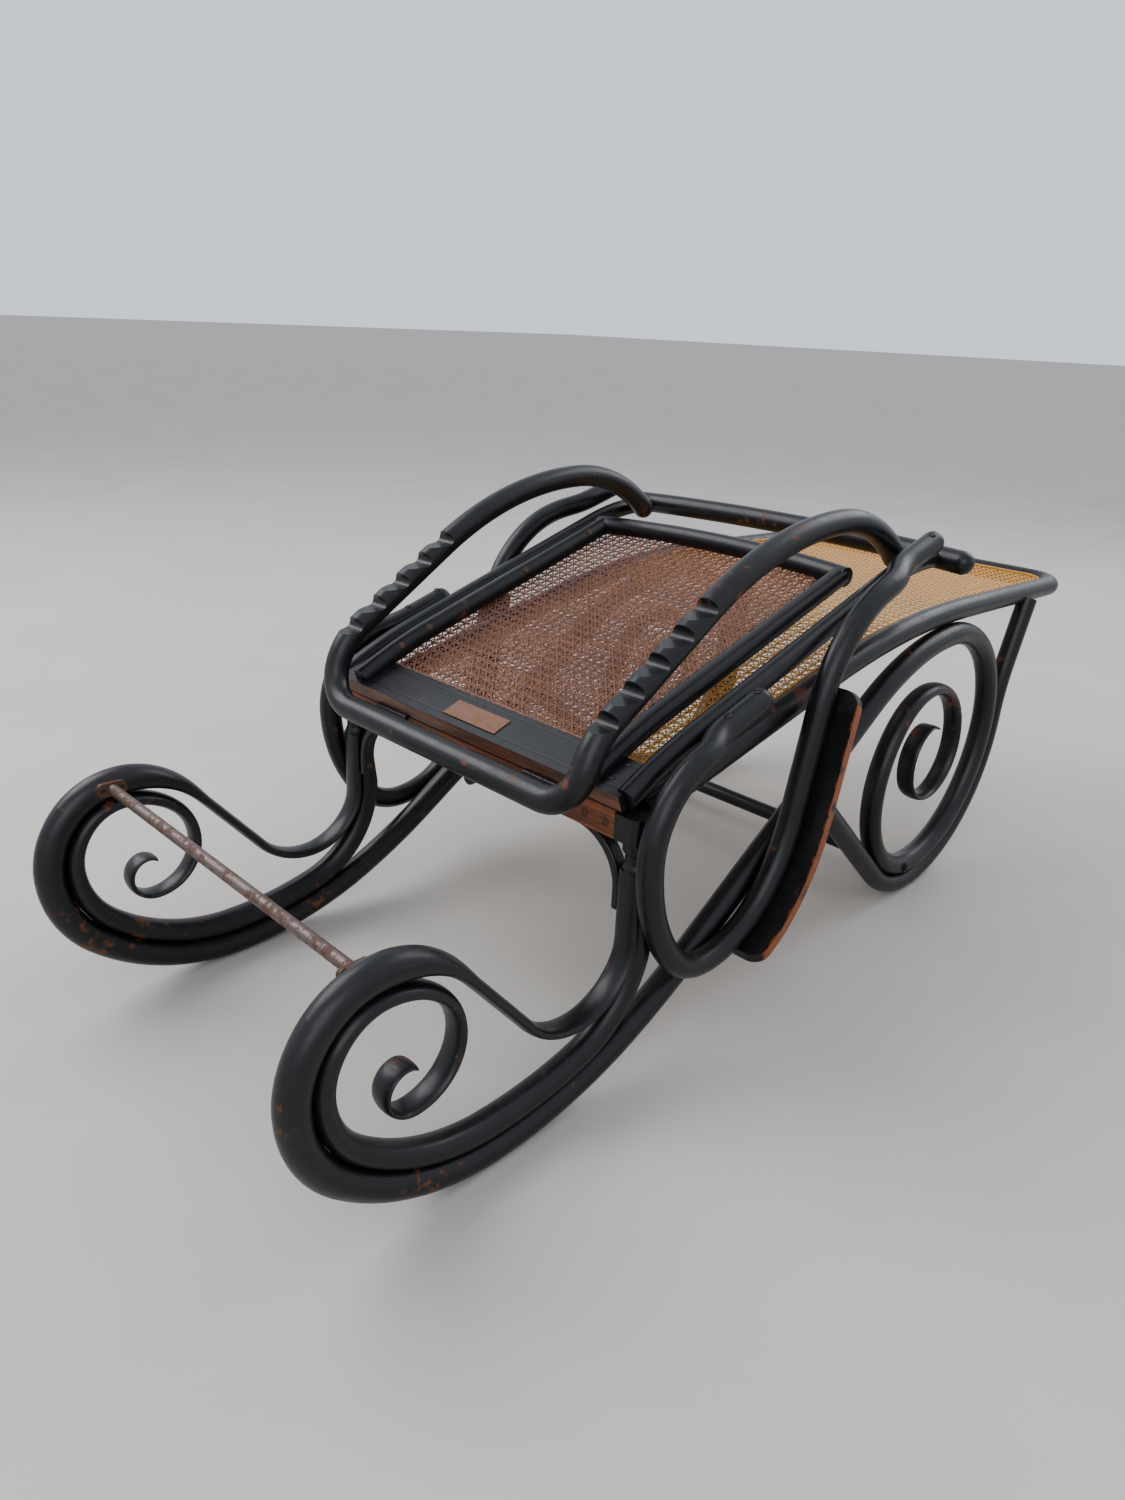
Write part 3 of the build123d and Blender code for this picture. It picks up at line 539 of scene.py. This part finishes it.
# ---- screws --------------------------------------------------------------------------------------
def screw_mesh(name, radius, height, material):
    """A slotted, slightly domed screw head standing on its own XY plane."""
    around = 24
    bm = bmesh.new()
    rings = []
    for share, rise in ((1.0, -0.3), (1.0, 0.35), (0.90, 0.72), (0.62, 0.93), (0.30, 1.0)):
        ring = []
        for k in range(around):
            a = 2 * math.pi * k / around
            spot = (radius * share * math.cos(a), radius * share * math.sin(a), height * rise)
            ring.append(bm.verts.new(spot))
        rings.append(ring)
    for low, high in zip(rings, rings[1:]):
        for k in range(around):
            turn = (k + 1) % around
            bm.faces.new((low[k], low[turn], high[turn], high[k]))
    bm.faces.new(rings[-1])
    bm.faces.new(list(reversed(rings[0])))
    half = radius * 0.13
    for side in (-half, half):
        everything = bm.verts[:] + bm.edges[:] + bm.faces[:]
        bmesh.ops.bisect_plane(bm, geom=everything, plane_co=(0, side, 0), plane_no=(0, 1, 0))
    slot_faces = [f for f in bm.faces if abs(f.calc_center_median().y) < half * 0.98
                  and f.calc_center_median().z > height * 0.36]
    sunk = bmesh.ops.extrude_face_region(bm, geom=slot_faces)["geom"]
    for vert in (v for v in sunk if isinstance(v, bmesh.types.BMVert)):
        vert.co.z -= height * 0.5
    bmesh.ops.delete(bm, geom=slot_faces, context="FACES_ONLY")
    bmesh.ops.recalc_face_normals(bm, faces=bm.faces)
    mesh = bpy.data.meshes.new(name)
    bm.to_mesh(mesh)
    bm.free()
    mesh.materials.append(material)
    return mesh


wood_screw = screw_mesh("wood_screw", 0.0048, 0.0012, screw_iron)
black_screw = screw_mesh("black_screw", 0.0050, 0.0012, dark_iron)
plate_screw = screw_mesh("plate_screw", 0.0032, 0.0004, dark_iron)


def drive_screw(name, mesh, node, origin, direction, turn):
    """A screw head where a ray meets a node, square to the surface."""
    found = hit(node, origin, direction)
    if not found:
        return
    point, normal = found
    if normal.dot(Vector(direction)) > 0:
        normal = -normal
    head = bpy.data.objects.new(name, mesh)
    head.matrix_world = Matrix.Translation(point) @ normal.to_track_quat("Z", "Y").to_matrix().to_4x4() \
        @ Matrix.Rotation(turn, 4, "Z")
    bpy.context.scene.collection.objects.link(head)
    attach(head, body_of_node[node])


def corners(node):
    return [Vector(corner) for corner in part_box(node)]


for sign, side in ((-1, "right"), (1, "left")):
    low, high = corners(f"arm_pad_{side}")
    for i, (fx, fz) in enumerate(((0.30, 0.10), (0.58, 0.34), (0.82, 0.70))):
        x, z = low.x + (high.x - low.x) * fx, low.z + (high.z - low.z) * fz
        drive_screw(f"pad_screw_{side}_{i}", black_screw, f"arm_pad_{side}",
                    (x + 0.25, (low.y + high.y) / 2 - sign * 0.012, z - 0.12), (-0.9, 0, 0.43), 0.7 * i)
    low, high = corners(f"arm_loop_{side}")
    for i, fx in enumerate((0.335, 0.245, 0.955)):
        x, y = low.x + (high.x - low.x) * fx, sign * (max(abs(low.y), abs(high.y)) - 0.030)
        drive_screw(f"arm_screw_{side}_{i}", black_screw, f"arm_loop_{side}",
                    (x, y, high.z + 0.2), (0, 0, -1), 0.5 + i)
    low, high = corners(f"cane_rail_{side}")
    for i, fx in enumerate((0.14, 0.24, 0.62, 0.90)):
        x, y = low.x + (high.x - low.x) * fx, (low.y + high.y) / 2
        drive_screw(f"cane_rail_screw_{side}_{i}", wood_screw, f"cane_rail_{side}",
                    (x, y - sign * 0.1, back.height(x) + 0.1), (0, sign * 0.74, -0.67), 0.4 + i)
    for i, fx in enumerate((0.35, 0.75)):
        x = board_low.x + (board_high.x - board_low.x) * fx
        drive_screw(f"board_screw_{side}_{i}", black_screw, "back_board",
                    (x, sign * (board_high.y - 0.030), board_high.z + 0.1), (0, 0, -1), 0.9 * i)
    low, high = corners(f"rod_plate_{side}")
    for i, fx in enumerate((0.16, 0.84)):
        x, z = low.x + (high.x - low.x) * fx, (low.z + high.z) / 2
        drive_screw(f"rod_plate_screw_{side}_{i}", plate_screw, f"rod_plate_{side}",
                    (x, 0.0, z), (0, sign, 0), 0.8 * i)
    low, high = corners(f"corner_brace_{side}")
    drive_screw(f"brace_screw_{side}", wood_screw, f"corner_brace_{side}",
                ((low.x + high.x) / 2, 0.0, low.z + 0.012), (0, sign, 0), 1.1)


# ---- floor, light, camera ------------------------------------------------------------------------
floor_reach = 60.0
floor_corners = [(x * floor_reach, y * floor_reach, 0) for x, y in ((-1, -1), (1, -1), (1, 1), (-1, 1))]
floor_mesh = bpy.data.meshes.new("floor")
floor_mesh.from_pydata(floor_corners, [], [(0, 1, 2, 3)])
floor = bpy.data.objects.new("floor", floor_mesh)
bpy.context.scene.collection.objects.link(floor)
floor_look, tree, shader, place = start_material("pale_floor")
shade = noise(tree, place.outputs["Object"], 3.0, 6.0)
tree.links.new(mix(tree, shade, (0.46, 0.435, 0.40), (0.54, 0.515, 0.48)), shader.inputs["Base Color"])
shader.inputs["Roughness"].default_value = 0.85
floor_mesh.materials.append(floor_look)

world = bpy.data.worlds.new("studio")
world.use_nodes = True
sky = world.node_tree.nodes["Background"]
sky.inputs["Color"].default_value = (0.86, 0.91, 1.0, 1)
sky.inputs["Strength"].default_value = 0.85
bpy.context.scene.world = world
lamps = (("key", (-1.6, 2.6, 3.4), 3.2, 110.0), ("fill", (-3.0, -2.6, 2.6), 3.0, 45.0),
         ("rim", (3.2, -0.6, 2.8), 2.4, 40.0))
lamp_aim = Vector((0, 0, 0.3))
for name, spot, size, power in lamps:
    lamp = bpy.data.lights.new(name, "AREA")
    lamp.size = size
    lamp.energy = power
    lit = bpy.data.objects.new(name, lamp)
    lit.location = spot
    lit.rotation_mode = "QUATERNION"
    lit.rotation_quaternion = (lamp_aim - Vector(spot)).to_track_quat("-Z", "Y")
    bpy.context.scene.collection.objects.link(lit)

yaw, pitch, roll = math.radians(44.109), math.radians(22.365), math.radians(2.621)
ahead = Vector((math.cos(pitch) * math.cos(yaw), math.cos(pitch) * math.sin(yaw), -math.sin(pitch)))
level = Vector((math.sin(yaw), -math.cos(yaw), 0.0))
above = level.cross(ahead)
right = level * math.cos(roll) + above * math.sin(roll)
upward = above * math.cos(roll) - level * math.sin(roll)
camera_data = bpy.data.cameras.new("camera")
camera_data.sensor_width = 36.0
camera_data.lens = 24.94
camera = bpy.data.objects.new("camera", camera_data)
rod_middle = (Vector(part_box("ratchet_rod")[0]) + Vector(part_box("ratchet_rod")[1])) / 2
camera_place = Vector((rod_middle.x - 0.45105, -0.95387, 0.87206))
camera_turn = Matrix((right, upward, -ahead)).transposed()
camera.matrix_world = Matrix.Translation(camera_place) @ camera_turn.to_4x4()
bpy.context.scene.collection.objects.link(camera)
bpy.context.scene.camera = camera
bpy.context.scene.view_settings.view_transform = "AgX"
bpy.context.scene.view_settings.look = "AgX - Medium High Contrast"
